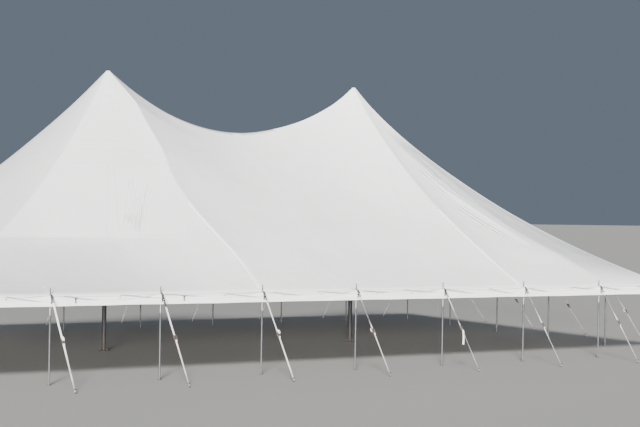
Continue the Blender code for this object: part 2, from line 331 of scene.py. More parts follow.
def add_piece(name, shape, finish, stands_for=(), sharp=35, crease_shade=None):
    """Puts a shape into a new mesh object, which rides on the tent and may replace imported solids. Its
    material is the finish's. The painted crease shade, a number for each point, becomes a mesh attribute that
    the finish reads."""
    points, faces = shape
    corner_count = np.concatenate([np.full(len(corners), corners.shape[1]) for corners, _ in faces])
    corners = np.concatenate([corners.ravel() for corners, _ in faces])
    mesh = bpy.data.meshes.new(name)
    mesh.vertices.add(len(points))
    mesh.vertices.foreach_set("co", points.astype(np.float32).ravel())
    mesh.loops.add(len(corners))
    mesh.loops.foreach_set("vertex_index", corners.astype(np.int32))
    mesh.polygons.add(len(corner_count))
    mesh.polygons.foreach_set("loop_start", (np.cumsum(corner_count) - corner_count).astype(np.int32))
    mesh.polygons.foreach_set("use_smooth", np.ones(len(corner_count), bool))
    uv = np.concatenate([uv.reshape(-1, 2) for _, uv in faces])
    mesh.uv_layers.new(name="UVMap").data.foreach_set("uv", uv.astype(np.float32).ravel())
    # Each point's painted shade, when given, becomes a mesh attribute.
    if crease_shade is not None:
        mesh.attributes.new("crease_shade", "FLOAT", "POINT").data.foreach_set("value", crease_shade.astype(np.float32))
    mesh.update(calc_edges=True)
    mesh.set_sharp_from_angle(angle=np.radians(sharp))
    mesh.materials.append(finish.material)
    piece = put(name, mesh)
    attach(piece, "root")
    if stands_for:
        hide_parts(*stands_for)
    return piece


def bar(radius, sides=10):
    """The outline of a round bar."""
    return radius * at(np.cos(around(sides)), np.sin(around(sides)))


def flat_bar(width, thickness, sides=16):
    """The outline of a flat bar with rounded edges, a superellipse."""
    angle = around(sides) + np.pi / sides
    return signed_power(at(np.cos(angle), np.sin(angle)), 0.35) * [width / 2, thickness / 2]


def ring(radius, outline, sides=24):
    """A ring about Z: an outline (height, further out) carried round a circle."""
    circle = at(radius * np.cos(around(sides)), radius * np.sin(around(sides)), 0)
    return swept(circle, (0, 0, 1), outline, looped=True)


def middle_of(node):
    """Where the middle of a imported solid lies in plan."""
    low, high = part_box(node)
    return (low.x + high.x) / 2, (low.y + high.y) / 2


# Each side pole's name and place, and the angles at which its guy, or a corner's two, stand out.
OUTWARD = {"front": -90, "right": 0, "back": 90, "left": 180}
side_poles = []
for node in sorted(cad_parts):
    if node.endswith("_pole") and "centre" not in node:
        words = node.split("_")
        sides = words[:2] if "corner" in words else words[:1]
        side_poles.append((node[:-len("_pole")], middle_of(node), [OUTWARD[side] for side in sides]))

COLLAR = 1.71
side_pole = turned([
    (0.056, 0.0), (0.060, 0.002), (0.060, 0.006), (0.057, 0.008), (0.034, 0.0085), (0.029, 0.012),
    (0.0262, 0.018), (0.025, 0.024), (0.025, 0.5), (0.025, 1.1), (0.025, COLLAR - 0.012),
    (0.0275, COLLAR - 0.004), (0.0305, COLLAR), (0.031, COLLAR + 0.004), (0.031, COLLAR + 0.052),
    (0.030, COLLAR + 0.056), (0.0262, COLLAR + 0.058), (0.0225, COLLAR + 0.0585),
    (0.021, COLLAR + 0.062), (0.021, 2.0), (0.021, 2.243), (0.0235, 2.250), (0.031, 2.2520),
    (0.032, 2.2535), (0.032, 2.2605), (0.031, 2.2622), (0.0125, 2.2624), (0.011, 2.266),
    (0.011, 2.36), (0.011, 2.455), (0.0095, 2.463), (0.006, 2.468), (0.0015, 2.4697),
], sides=28)
s = np.linspace(0, 1, 22)
hitch_pin = swept(at(0, 0.1 * s - 0.05, COLLAR + 0.03), (0, 0, 1), bar(0.0042, 8))
bail_angle = np.pi * (0.5 + s)
bail_height = COLLAR + 0.03 - 0.010 * np.sin(np.pi * s)
hitch_bail = swept(at(-0.034 * np.cos(bail_angle), 0.044 * np.sin(bail_angle) - 0.004, bail_height),
                   (0, 0, 1), bar(0.0022, 6))
collar_weld = moved(ring(0.0262, bar(0.0022, 6), 28), (0, 0, COLLAR + 0.0585))
side_pole = joined([side_pole, hitch_pin, hitch_bail, collar_weld])

# Spangled zinc, duller on the lower tube and dark from the shoulder up, with mud splashed on the foot. The
# holes are drawn on the drilled tube as dents in the bump and as near-black discs of painted shade.
DRILLED_FROM, DRILLED_TO, HOLE_STEP, HOLE_RADIUS = 1.80, 2.22, 0.05, 0.0055
galvanised = Finish("side_pole_metal", metallic=1.0)
crystals = galvanised.node("ShaderNodeTexVoronoi", {"feature": "SMOOTH_F1"},
                           {"Vector": galvanised.place(), "Scale": 70.0}, out=1)
spangle = galvanised.node("ShaderNodeRGBToBW", None, {0: crystals})
scuffs = galvanised.noise(1.0, 5.0, stretch=(90, 90, 6))
height = galvanised.axis("Z")
splash = (1 - height.between(0.02, 0.55)) * galvanised.noise(9.0, 5.0).between(0.35, 0.75)
hole_x = abs(galvanised.axis("X", galvanised.place("UV")) - 0.033)
hole_z = abs((height - DRILLED_FROM) % HOLE_STEP - HOLE_STEP / 2)
holes = hole_x * hole_x + hole_z * hole_z < HOLE_RADIUS ** 2
holes = holes * (height > DRILLED_FROM) * (height < DRILLED_TO)
worn = spangle * 0.5 + scuffs.between(0.45, 0.75) * 0.5
lower_tube = galvanised.blend((0.11, 0.113, 0.118), (worn, (0.22, 0.225, 0.23)))
upper_tube = galvanised.blend((0.27, 0.27, 0.26), (worn, (0.46, 0.455, 0.44)))
# The near-black layer over the holes is painted shade inside the drilled holes.
tone = galvanised.blend(
    lower_tube, (height > COLLAR + 0.06, upper_tube), (height > 2.262, (0.035, 0.033, 0.031)),
    (splash * 0.75, (0.12, 0.10, 0.08)), (holes, (0.015, 0.015, 0.015)))
relief = scuffs + spangle * 0.3 - holes * 2
galvanised.paint(tone, scuffs * 0.25 + 0.40 + splash * 0.3, 0.75 - splash * 0.7, relief, 0.0006)

for name, (x, y), _ in side_poles:
    pole = moved(side_pole, (x, y, 0), facing(17 * (x + y)))
    add_piece("upright_" + name, pole, galvanised, [name + "_pole"])


# Centre poles.
# Two tall poles of dull tube, painted near black as the shade under the roof, carry the peaks. Each has
# two lengths joined by a bolted sleeve, a foot plate with a socket and gussets, and a head plate with a
# lifting ring under the cloth's tip.
def plate(outline, start, end, place=(0, 0, 0)):
    """A flat plate: an outline (x, z) carried along Y from start to end."""
    return moved(swept([(0, end, 0), (0, start, 0)], (1, 0, 0), outline), place)


def bolt(length, radius, head, place):
    """A bolt along Y, with a six-sided head at each end."""
    shank = plate(bar(radius, 10), -length / 2, length / 2)
    heads = [plate(bar(head, 6), end - 0.003, end + 0.003) for end in (-length / 2, length / 2)]
    return moved(joined([shank, *heads]), place)


def wire_loop(wide, tall, wire, sides, place=(0, 0, 0), axes=np.eye(3)):
    """A closed loop of wire about X, through (0, wide cos a, tall sin a)."""
    path = at(0, wide * np.cos(around(sides)), tall * np.sin(around(sides)))
    return moved(swept(path, (1, 0, 0), wire, looped=True), place, axes)


centre_profile = [
    (0.150, 0.0), (0.158, 0.002), (0.160, 0.005), (0.160, 0.011), (0.158, 0.014), (0.092, 0.0145),
    (0.086, 0.019), (0.083, 0.026), (0.083, 0.140), (0.081, 0.144), (0.0725, 0.1445), (0.070, 0.148),
    (0.070, 1.2), (0.070, 2.6), (0.070, 4.05), (0.076, 4.055), (0.078, 4.06), (0.078, 4.48),
    (0.076, 4.485), (0.0702, 4.49), (0.070, 4.5), (0.070, 6.0), (0.070, 7.5), (0.070, 8.728),
    (0.068, 8.736), (0.060, 8.7396), (0.047, 8.7410), (0.045, 8.745), (0.045, 8.818), (0.043, 8.826),
    (0.038, 8.829),
]
gusset = plate([(0.08, 0.012), (0.150, 0.012), (0.151, 0.03), (0.088, 0.125), (0.08, 0.128)], -0.004, 0.004)
centre_parts = [turned(centre_profile, sides=40), moved(ring(0.098, bar(0.008, 10), 36), (0, 0, 8.715))]
for k in range(4):
    centre_parts.append(moved(gusset, axes=facing(90 * k + 45)))
    outwards = facing(90 * k + 20)[0]
    link = wire_loop(0.018, 0.030, bar(0.005, 8), 21, outwards * 0.100 + [0, 0, 8.695], facing(90 * k - 70))
    centre_parts.append(link)
for z, angle in ((4.13, 0), (4.20, 90), (4.34, 90), (4.41, 0), (0.09, 20)):
    centre_bolt = bolt(0.182 if z > 1 else 0.19, 0.007, 0.013, (0, 0, z))
    centre_parts.append(moved(centre_bolt, axes=facing(angle)))
centre_pole = joined(centre_parts)

shade_darkened_tube = Finish("centre_pole_metal", metallic=0.9)
runs = shade_darkened_tube.noise(1.0, 5.0, stretch=(30, 30, 1.6))
blots = shade_darkened_tube.noise(14.0, 6.0, 0.7)
mud = (1 - shade_darkened_tube.axis("Z").between(0.0, 0.8)) * blots.between(0.35, 0.7)
# The base colour is painted near black as the shade under the roof; runs, rust blots and mud lie over it.
tone = shade_darkened_tube.blend(
    (0.030, 0.031, 0.033), (runs.between(0.3, 0.72), (0.095, 0.095, 0.095)),
    (blots.between(0.62, 0.74) * 0.6, (0.09, 0.05, 0.03)), (mud * 0.8, (0.12, 0.095, 0.07)))
bare = 0.6 - blots.between(0.6, 0.75) * 0.5
shade_darkened_tube.paint(tone, runs * 0.25 + 0.5 + mud * 0.25, bare, runs + blots * 0.6, 0.0012)

HALVES = ((-1, "left_half"), (1, "right_half"))
for _, half in HALVES:
    node = half.split("_")[0] + "_centre_pole"
    add_piece("mast_" + half, moved(centre_pole, (*middle_of(node), 0)), shade_darkened_tube, [node])


# Guys.
# From the pin of each side pole a forged eye plate, a chain link and a double hook carry a 50 mm woven
# strap down to a steel stake, and a spare end of chain hangs beside them. A ratchet halfway tightens the
# strap, and on some the spare webbing is folded up beside it. The corners have a strap on each side.
EAVE = 2.28
STAKE_OUT = 1.83
HOOK_END = 0.225
LINK_STEP = 0.072
strap_top = np.array([0.085, 0.0, EAVE + 0.0033])
strap_foot = np.array([STAKE_OUT, 0.0, 0.055])
strap_length = np.linalg.norm(strap_foot - strap_top)
down = (strap_foot - strap_top) / strap_length
lift = np.cross(down, (0, 1, 0))
level_side = np.array([0.0, 1.0, 0.0])
RATCHET_AT = strap_length / 2


def on_slope(shape, distance, degrees=0.0):
    """A shape this far down the strap, whose X runs down it. Its Y and Z are the level side direction and
    the direction off the strap, turned about the strap: Y = level cos a + off sin a."""
    c, s = np.cos(np.radians(degrees)), np.sin(np.radians(degrees))
    axes = [down, level_side * c + lift * s, lift * c - level_side * s]
    return moved(shape, strap_top + down * distance, axes)


tongue_path = [(0.030, 0, 0.005), (0.07, 0, 0.0052), (0.084, 0, 0.0045), (0.102, 0, -0.014)]
eye_tongue = swept(tongue_path, (0, 1, 0), flat_bar(0.046, 0.010), size=[(1.2, 1), (1, 1), (1, 1), (0.9, 1)])
eye_ring = moved(ring(0.0265, flat_bar(0.009, 0.026, 8), 24), (0, 0, 0.005))
eye_plate = moved(joined([eye_ring, eye_tongue]), (0, 0, EAVE))
turn = around(24)
link_path = at(0.05 + 0.045 * signed_power(np.cos(turn), 0.6), 0.026 * signed_power(np.sin(turn), 0.8), 0)
chain_link = swept(link_path, (0, 0, 1), bar(0.0085, 8), looped=True)
spare_link = wire_loop(0.014, 0.026, bar(0.0062, 6), 14)
spare_chain = [moved(spare_link, (0.104, 0, EAVE - 0.035 - 0.038 * k), facing(90 * (k % 2)))
               for k in range(5)]
bend = np.linspace(0, 1, 12)[1:] * np.pi * 1.15
hook_wire = np.concatenate([
    [(HOOK_END, 0, 0), (0.18, 0, 0.001), (0.14, 0, -0.001), (0.11, 0, -0.004)],
    at(0.098 - 0.014 * np.sin(bend), 0, 0.010 - 0.014 * np.cos(bend)),
])
double_hook = [moved(swept(hook_wire, (0, 1, 0), bar(0.0085, 8)), (0, y, 0)) for y in (-0.023, 0.023)]
double_hook.append(plate(bar(0.0085, 8), -0.036, 0.036, (HOOK_END, 0, 0)))

frame_side = [(-0.083, -0.006), (-0.070, -0.014), (0.050, -0.0165), (0.076, -0.010), (0.084, 0.0),
              (0.078, 0.009), (0.045, 0.013), (-0.02, 0.006), (-0.072, 0.007), (-0.083, 0.003)]
handle_side = [(-0.062, 0.006), (-0.050, 0.004), (0.030, -0.006), (0.050, -0.010), (0.063, 0.0),
               (0.052, 0.012), (0.02, 0.013), (-0.048, 0.0205), (-0.062, 0.019)]
tooth = around(44)
wheel_radius = 0.0148 + 0.0018 * np.sign(np.sin(11 * tooth + 0.2))
wheel = at(0.048 + wheel_radius * np.cos(tooth), wheel_radius * np.sin(tooth))
ratchet_parts = [
    plate(bar(0.0095, 14), -0.034, 0.034, (0.048, 0, 0)),
    bolt(0.066, 0.0048, 0.008, (-0.070, 0, -0.002)),
    bolt(0.0705, 0.005, 0.0085, (0.048, 0, 0)),
    plate(flat_bar(0.026, 0.0075, 12), -0.033, 0.033, (-0.048, 0, 0.0135)),
    plate(flat_bar(0.034, 0.0022, 12), -0.024, 0.024, (0.008, 0, -0.0105)),
]
for outline, thick, starts in ((frame_side, 0.003, (-0.0305, 0.0275)), (wheel, 0.004, (-0.0262, 0.0222)),
                               (handle_side, 0.0025, (-0.0355, 0.033))):
    ratchet_parts += [plate(outline, start, start + thick) for start in starts]
ratchet = moved(joined(ratchet_parts), axes=np.diag([1.35, 1.2, 1.4]))

stake = turned([
    (0.0145, 0.0), (0.016, 0.001), (0.016, 0.05), (0.016, 0.094), (0.0175, 0.0985), (0.0235, 0.1005),
    (0.0262, 0.104), (0.0268, 0.110), (0.0255, 0.1155), (0.020, 0.119), (0.010, 0.1205), (0.003, 0.1208),
], sides=20)


def rusted(name, pitting, rusting, tones, cover, rough, shine, slot=None):
    """Pitted metal between two tones, with patches of rust, the third tone, which are rough and dull."""
    finish = Finish(name, metallic=1.0, slot=slot)
    pits = finish.noise(*pitting)
    rust = finish.noise(17.0, 6.0, 0.7).between(*rusting)
    tone = finish.blend(tones[0], (pits, tones[1]), (rust * cover, tones[2]))
    roughness = pits * rough[0] + rough[1] + rust * rough[2]
    finish.paint(tone, roughness, shine - rust * (shine - 0.1), pits + rust, 0.0008)
    return finish


dark_steel = [(0.022, 0.022, 0.023), (0.085, 0.085, 0.085), (0.075, 0.038, 0.024)]
pale_zinc = [(0.13, 0.125, 0.12), (0.34, 0.33, 0.31), (0.13, 0.045, 0.026)]
fitting = rusted("fitting_steel", (55.0, 5.0, 0.65), (0.52, 0.66), dark_steel, 0.8, (0.3, 0.42, 0.3), 0.7)
zinc = rusted("ratchet_zinc", (80.0, 4.0), (0.46, 0.60), pale_zinc, 0.9, (0.25, 0.35, 0.35), 0.8,
              slot="fitting_steel")

stake_steel = Finish("stake_steel", metallic=0.8)
scale_rust = stake_steel.noise(38.0, 7.0, 0.72)
worn_head = stake_steel.axis("Z").between(0.108, 0.120) * stake_steel.noise(60.0).between(0.4, 0.6)
tone = stake_steel.blend((0.045, 0.030, 0.024), (scale_rust.between(0.3, 0.7), (0.12, 0.072, 0.048)),
                         (worn_head, (0.21, 0.20, 0.19)))
stake_steel.paint(tone, 0.85 - worn_head * 0.45, worn_head * 0.7 + 0.2, scale_rust, 0.0018)

webbing = Finish("guy_webbing", roughness=0.8, specular=0.3)
over = abs(webbing.axis("X", webbing.place("UV")))
rib = webbing.wave("Y", 120.0)
selvedge = over.between(0.0195, 0.0205) * (1 - over.between(0.0225, 0.0232))
wear = webbing.noise(1.0, 5.0, stretch=(6, 6, 2)).between(0.42, 0.72)
muddy = (1 - webbing.axis("Z").between(0.06, 0.36)) * webbing.noise(12.0, 5.0).between(0.15, 0.5)
tone = webbing.blend((0.86, 0.85, 0.81), (rib * 0.25 + wear * 0.45, (0.63, 0.61, 0.56)),
                     (selvedge * 0.35, (0.50, 0.50, 0.48)), (muddy * 0.85, (0.17, 0.145, 0.115)))
webbing.paint(tone, None, None, rib + webbing.wave("DIAGONAL", 210.0) * 0.5, 0.0006)

# How the straps of the photographed side lie: places down the strap, as shares of its length, and the
# angle at which it is turned about its own line there, in degrees.
LAY = {
    "front_1": ((0.10, 0.44, 0.58, 0.75), (0, 0, -4, -26)),
    "front_2": ((0.10, 0.44, 0.58, 0.90), (-8, -12, -14, -30)),
    "front_3": ((0.10, 0.40, 0.60, 0.80), (-16, -22, -16, -12)),
    "front_4": ((0.08, 0.16, 0.36, 0.43, 0.57, 0.70), (-12, -50, -51, -22, -20, -28)),
    "front_5": ((0.12, 0.26, 0.33, 0.40, 0.45, 0.57, 0.63, 0.76), (-20, -26, -49, -49, -26, -26, -49, -37)),
    "front_6": ((0.05, 0.26, 0.40, 0.57, 0.66), (-45, -45, -16, -20, -34)),
    "front_7": ((0.05, 0.30, 0.42, 0.57, 0.66), (-41, -40, -14, -18, -30)),
}
# The straps whose spare webbing is folded up, on top of the ratchet (1) or under it (-1), and the links of
# chain that are added above some of the hooks.
BUNDLED = {"front_1": 1, "front_3": 1, "front_4": -1, "back_2": 1, "back_3": -1, "back_6": 1, "left_2": 1,
           "right_1": -1, "right_4": 1}
ADDED_LINKS = {"front_2": 3, "front_3": 1, "front_5": 1, "back_5": 2, "left_3": 1}
STRAP = flat_bar(0.0485, 0.0036, 12)

# The spare webbing is folded into a flat roll of two and a half turns that lies on the ratchet.
roll_angle = np.linspace(0, 5 * np.pi, 64)
roll_path = at(0.058 * signed_power(np.cos(roll_angle), 0.6) - 0.075, 0,
               0.046 + (0.005 + 0.0011 * roll_angle) * np.sin(roll_angle))
bundle = swept(roll_path, (0, 1, 0), STRAP, across=STRAP[:, 0])
strap_roll = plate(bar(0.024, 16), -0.024, 0.024, (0.065, 0, 0))
strap_loop = moved(ring(0.0195, flat_bar(0.044, 0.0036, 12), 20), strap_foot + [0, 0, 0.006])


def strap_run(start, end, lay, sag, doubled):
    """A taut strap between two distances down the slope.

    It turns evenly about its own line from each stated place to the next, sags as 4 t (1 - t), and is
    twice as thick on the rows where its end is folded back and stitched.
    """
    t = np.linspace(0, 1, 44)
    place = start + (end - start) * t
    path = strap_top + down * place[:, None] - lift * (sag * 4 * t * (1 - t))[:, None]
    angle = np.radians(np.interp(place / strap_length, *lay))[:, None]
    side = level_side * np.cos(angle) + lift * np.sin(angle)
    thick = np.where(np.any([(place > low) & (place < high) for low, high in doubled], axis=0), 2.0, 1.0)
    return swept(path, side, STRAP, size=at(1, thick), across=STRAP[:, 0])


GUY_FINISHES = {"strap": webbing, "hook": fitting, "ratchet": zinc, "stake": stake_steel}
strap_rng = np.random.default_rng(7)
for name, (x, y), turns in side_poles:
    added = ADDED_LINKS.get(name, 0)
    hook_at = LINK_STEP * added
    flip = BUNDLED.get(name, 0)
    spare = [strap_roll, moved(bundle, axes=np.diag([1, flip, flip]))] if flip else [strap_roll]
    guy = {kind: [] for kind in GUY_FINISHES}
    for turn in turns:
        lean = strap_rng.uniform(-12, 12, 3)
        lay = LAY.get(name, ((0.1, 0.44, 0.58, 0.9), lean[[0, 1, 1, 2]]))
        tilt = np.interp(0.5, *lay)
        sag = strap_rng.uniform(0.004, 0.012)
        upper = strap_run(hook_at + HOOK_END - 0.012, RATCHET_AT - 0.09, lay, sag,
                          [(hook_at + 0.2, hook_at + 0.36), (RATCHET_AT - 0.24, RATCHET_AT)])
        lower = strap_run(RATCHET_AT + 0.066, strap_length - 0.014, lay, 0.003,
                          [(strap_length - 0.17, strap_length)])
        chain = [on_slope(chain_link, LINK_STEP * k, 90 * (k % 2)) for k in range(added + 1)]
        hooks = [on_slope(part, hook_at, 90 * (added % 2)) for part in double_hook]
        parts_of = {
            "strap": [upper, lower, strap_loop] + [on_slope(part, RATCHET_AT, tilt) for part in spare],
            "hook": [eye_plate] + chain + hooks + spare_chain,
            "ratchet": [on_slope(ratchet, RATCHET_AT, tilt)],
            "stake": [moved(stake, (STAKE_OUT, 0, 0))],
        }
        for kind, parts in parts_of.items():
            guy[kind] += [moved(part, (x, y, 0), facing(turn)) for part in parts]
    for kind, finish in GUY_FINISHES.items():
        sharp = 60 if kind == "strap" else 35
        add_piece(f"guy_{kind}_{name}", joined(guy[kind]), finish, [name + "_guy"], sharp)

# The tail of the strap on the fifth front pole is left hanging out of its ratchet, with a folded tip.
TAIL = 0.42
TAIL_STRAP = flat_bar(0.0485, 0.0024)
t = np.linspace(0, 1, 40)
tail_x, tail_y = next(place for name, place, _ in side_poles if name == "front_5")
tail_start = strap_top + down * (RATCHET_AT + 0.065)
tail_path = at(
    tail_x + 0.012 * np.sin(3.2 * t) + 0.010 * t,
    tail_y - tail_start[0] - 0.03 + 0.018 * np.exp(-8 * t) - 0.006 * np.sin(5 * t) - 0.012 * t,
    tail_start[2] + 0.012 - TAIL * t + 0.004 * t * t)
tail_turn = 0.55 * np.sin(2.4 * t) - 0.85
tail = swept(tail_path, at(np.cos(tail_turn), np.sin(tail_turn), 0), TAIL_STRAP,
             size=at(1, np.where(t > 0.88, 2.0, 1.0)), across=TAIL_STRAP[:, 0])
tail = add_piece("guy_tail_front_5", tail, webbing, sharp=60)


# Cloth tops.
# Two halves of white coated vinyl hang from the peaks and are stretched to the eave. Each has a hip to
# each corner and a webbing line to the nearest poles, and falls in a saddle to the lace line between them.
BAY = 3.048
WEB, PEAK_X = BAY / 2, 1.5 * BAY
RISE = 6.56
SIDE_REACH, END_REACH, LACE_REACH = 7.56, 7.56, 4.5717
TIP, CLOTH = 0.05, 0.0045


def bounded(value):
    """The value, cut off below 0 and above 1."""
    return np.clip(value, 0, 1)


def pole_fall(u, sag, ease):
    """Height share along a line from the peak (u = 0, share 1) down to the eave (u = 1, share 0)."""
    return (1 - u) * (1 - sag * u + ease * u * u)


def crease_line(side, u):
    """How far out from the peak the front crease lies at this share of the way down to the eave. On the
    left half it is 0.3 m past the inner web for the first third, meets it half way, and bows 0.13 m past it
    again below. On the right half it is a little short of the outer web."""
    if side > 0:
        return WEB * u * (0.73 + 0.27 * u ** 3)
    past = 0.38 * bounded(u / 0.12) * bounded(1 - u) ** 0.6
    turn = bounded((u - 0.30) / 0.20)
    low = bounded(2 * u - 1)
    bow = 1.1 * low * low * (1 - low) - 0.35 * low * (1 - low) ** 2
    return -WEB * u - past * (1 - turn * turn * (3 - 2 * turn)) - bow


def roof_share(side, out, across):
    """Height share at plan offsets from a peak: out towards the end, and across along Y.

    Rows of constant u are squares around the peak. Across an end each is a smooth arch between the hips.
    On the front and back it falls from a crease to the hip, and from the crease to the lace line as a
    power of the place between them. The crease stands up as exp(-distance / 0.8). The right half sags
    beside it as s (1 - s), and swells beside the hip as s^1.6 (1 - s), of the place s from crease to hip.
    """
    across = np.abs(across)
    u = np.maximum(across / SIDE_REACH, out / END_REACH)
    hip, web = pole_fall(u, 0.55, 0.11), pole_fall(u, 0.41, 0.19)
    arch = hip + (web - hip) * (1 - bounded(across / np.maximum(SIDE_REACH * u, 1e-6)) ** 2.2)
    u = across / SIDE_REACH
    hip, web, lace = pole_fall(u, 0.55, 0.11), pole_fall(u, 0.41, 0.19), 0.73 * (1 - u)
    crease = crease_line(side, u)
    power, swell, sag = (2.0, 0.0, 0.0) if side < 0 else (1.7, 0.035, 0.2)
    span = np.maximum(across - crease, 1e-6)
    s = bounded((out - crease) / span)
    middle = bounded(u / 0.25) * bounded((1 - u) / 0.2)
    bulge = swell * s ** 1.6 / 0.177 * middle - sag * s * (1 - u)
    front = web + (hip - web) * s + bulge * (1 - s) * span / RISE
    xi = bounded((LACE_REACH + out) / np.maximum(LACE_REACH + crease, 1e-6))
    front = np.where(out < crease, lace + (web - lace) * xi ** power, front)
    ridge = 0.10 * np.exp(-np.abs(out - crease) / 0.8) * middle
    ridge = ridge * bounded((across - out) / 0.5) * bounded(xi * 4)
    return np.where(out > across, arch, front + ridge / RISE)


def fold(out, across, path, height, width):
    """A long soft fold: height times exp(-(distance from the path / width) squared), fading at its ends."""
    path = np.array(path, float)
    nearest = np.full(out.shape, np.inf)
    place = np.zeros(out.shape)
    for k, (a, b) in enumerate(zip(path[:-1], path[1:])):
        run = b - a
        t = bounded(((out - a[0]) * run[0] + (across - a[1]) * run[1]) / (run @ run))
        gap = np.hypot(out - a[0] - t * run[0], across - a[1] - t * run[1])
        place = np.where(gap < nearest, (k + t) / (len(path) - 1), place)
        nearest = np.minimum(gap, nearest)
    return height * np.exp(-(nearest / width) ** 2) * bounded(4 * place * (1 - place)) ** 0.5


# Folds on the quarter of a half between a web and a hip, as plan points (out, across), then height, width.
HIP_FOLDS = [
    ([(1.2, 1.6), (1.78, 2.17), (2.36, 3.11), (2.89, 4.09), (3.28, 5.2)], 0.030, 0.14),
    ([(1.3, 2.7), (1.75, 3.37), (2.20, 3.90), (2.60, 4.47), (2.98, 5.06), (3.4, 5.7)], 0.075, 0.14),
    ([(2.2, 2.9), (3.9, 4.4), (5.2, 6.3)], 0.020, 0.16),
    ([(4.2, 6.0), (5.3, 6.9), (6.6, 7.3)], 0.012, 0.16),
]
WEB_FOLDS = [
    ([(0.35, 2.0), (0.83, 3.5), (1.53, 5.3), (1.9, 7.0)], -0.008, 0.12),
    ([(0.1, 1.6), (0.23, 3.5), (1.23, 5.3), (1.4, 6.6)], 0.008, 0.12),
    ([(-0.3, 2.4), (-0.7, 4.2), (-0.9, 6.0)], 0.008, 0.14),
]
# How strong the folds are on each quarter: front, back, and the two quarters of the end.
FOLD_STRENGTH = {-1: (0.12, 0.5, 0.12, 0.3), 1: (1.0, 0.6, 0.3, 0.3)}
roof_rng = np.random.default_rng(23)
swells = [
    (roof_rng.uniform(1.1, 3.4), roof_rng.uniform(0, 2 * np.pi), roof_rng.uniform(0, 2 * np.pi))
    for _ in range(9)
]
poles_in_plan = {
    side: [(side * x - PEAK_X, y) for _, (x, y), _ in side_poles if side * x > -0.01] for side in (-1, 1)
}
pole_pulls = {
    side: [(place, roof_rng.uniform(-18, 18), roof_rng.uniform(0.7, 1.3, 5)) for place in poles_in_plan[side]]
    for side in (-1, 1)
}
fold_jitter = {side: roof_rng.uniform(-1, 1, (4, 9, 3)) for side in (-1, 1)}


def border_shares(out, across):
    """How far a place is on its way to the side, to the end and to the lace line, each 1 when it is there."""
    return at(np.abs(across) / SIDE_REACH, out / END_REACH, -out / LACE_REACH)


def wrinkles(side, out, across):
    """Height of the folds: the slack of the right half, broad swells, pleats round the peak, long folds
    beside the hips and webs, short folds that fan inwards from each pole, and the bend at the left half's
    lowest front seam."""
    shares = border_shares(out, across)
    u = shares.max(axis=-1)
    even_u = (np.clip(shares, 0, None) ** 8).sum(axis=-1) ** 0.125
    radius, angle = np.hypot(out, across), np.arctan2(across, out)
    calm = bounded(1.02 - u) ** 0.5
    slack = 1 - np.exp(-np.clip(radius - TIP, 0, None) / 0.9)
    total = -0.31 * (side > 0) * slack * bounded(1 - even_u) ** 1.35
    for rate, heading, phase in swells:
        wave = rate * (side * out * np.cos(heading) + across * np.sin(heading)) + phase
        total = total + 0.0034 * np.sin(wave) * calm * bounded(radius - 0.2)
    pleats = np.cos(17 * angle + 1.5 * np.sin(3 * angle)) + 0.6 * np.cos(29 * angle + side)
    total = total + 0.0022 * pleats * np.exp(-((radius - 0.85) / 0.4) ** 2)
    quarters = ((out, -across), (out, across), (-across, out), (across, out))
    for quarter, (first, second) in enumerate(quarters):
        shown = (side, quarter) == (1, 0)
        folds = HIP_FOLDS + (WEB_FOLDS if quarter < 2 else WEB_FOLDS[:2])
        for (path, height, width), shift in zip(folds, fold_jitter[side][quarter]):
            near = np.array(path) + shift[:2] * (0.0 if shown else 0.22)
            strength = height * (1 + (0.1 if shown else 0.35) * shift[2]) * FOLD_STRENGTH[side][quarter]
            total = total + fold(first, second, near, strength, width) * calm
    for (pole_out, pole_across), lean, strengths in pole_pulls[side]:
        heading = np.degrees(np.arctan2(-pole_across / SIDE_REACH, -(pole_out + 0.6) / END_REACH))
        for spread, strength in zip((-58, -30, 0, 27, 55), strengths):
            way = np.radians(heading + spread + 0.5 * lean)
            step = (0.5 + 0.55 * strength) * (1.0 if spread else 1.5) * np.array([np.cos(way), np.sin(way)])
            points = [np.array([pole_out, pole_across]) + share * step for share in (-0.5, 0.15, 1.0)]
            total = total + fold(out, across, points, 0.008 * strength, 0.085)
    below = bounded((1 - u) / 0.31)
    panel = -0.24 * np.where(u > 0.69, 1 - (1 - below) ** 1.3, bounded((u - 0.40) / 0.29) ** 1.3)
    over = bounded((out + 0.4) / 2.2) * bounded((-across - out) * 0.9 + 0.1) * (side < 0)
    return (total + panel * over) * bounded((1.0 - u) * 30)


def roof_height(side, out, across):
    """Height of the cloth's top face: the tip's circle is level, and outside it the share is read at the
    place that the walk from the tip to the border has reached."""
    u = np.maximum(border_shares(out, across).max(axis=-1), 1e-9)
    radius = np.maximum(np.hypot(out, across), 1e-9)
    s = bounded((radius - TIP) / (radius / u - TIP))
    return EAVE + RISE * roof_share(side, out / u * s, across / u * s) + wrinkles(side, out, across)


def on_roof(side, out, across, lift=0.0):
    """Points at plan offsets from a half's peak, this far above the cloth."""
    return at(side * (PEAK_X + out), across, roof_height(side, out, across) + lift)


def thick_sheet(top, under, uv, joined_ends=False):
    """A thin closed sheet of two faces, given as two grids of points, with a rim round its border."""
    rows, columns = top.shape[:2]
    quads, column, row = grid_faces(rows, columns, joined=joined_ends)
    count = rows * columns
    place = uv[row, column]
    faces = [(quads, place), (quads[:, ::-1] + count, place[:, ::-1])]
    j, i = np.arange(columns - 1 + joined_ends), np.arange(rows - 1)
    rims = [(0 * j, j + 1, 0 * j, j), (0 * j + rows - 1, j, 0 * j + rows - 1, j + 1)]
    if not joined_ends:
        rims += [(i, 0 * i, i + 1, 0 * i), (i + 1, 0 * i + columns - 1, i, 0 * i + columns - 1)]
    for from_row, from_column, to_row, to_column in rims:
        a, b = from_row * columns + from_column % columns, to_row * columns + to_column % columns
        ends = np.stack([uv[from_row, from_column], uv[to_row, to_column]], axis=1)
        faces.append((at(a, b, b + count, a + count), ends[:, [0, 1, 1, 0]]))
    return outward(np.concatenate([top.reshape(-1, 3), under.reshape(-1, 3)]), faces)


